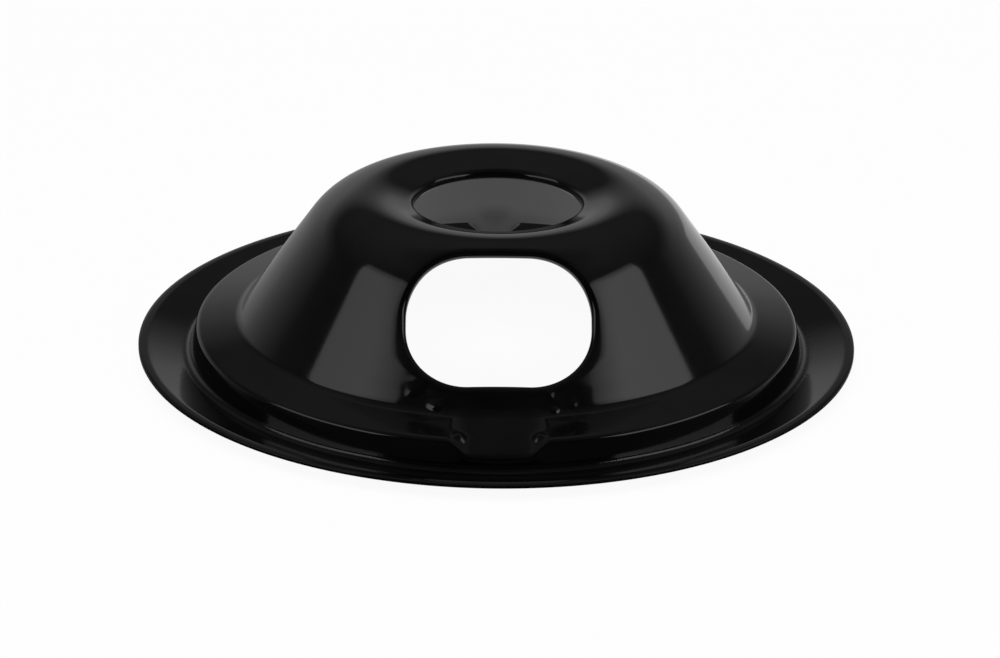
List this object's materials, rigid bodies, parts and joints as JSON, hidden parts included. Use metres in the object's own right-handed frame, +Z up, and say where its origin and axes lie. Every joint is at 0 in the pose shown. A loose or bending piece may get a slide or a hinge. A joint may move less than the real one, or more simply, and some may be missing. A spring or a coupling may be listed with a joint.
{
  "type": "range drip bowl",
  "caption": "Round pressed-steel drip bowl for an electric coil burner, black enamelled, with a stepped rim, a ledge for the coil, a centre hole and a terminal window in the wall.",
  "frame": {"origin": "on the axis of the bowl, in the plane the crest of the rim lies on", "axes": "+Z up out of the small end of the bowl, with the bowl face down as in the picture; -Y toward the terminal window; +X to the right seen from the window's side"},
  "size_m": [0.197, 0.197, 0.0459],
  "materials": {
    "enamel": "gloss black porcelain enamel"
  },
  "bodies": {
    "root": {"drip_bowl": "enamel"}
  },
  "joints": []
}
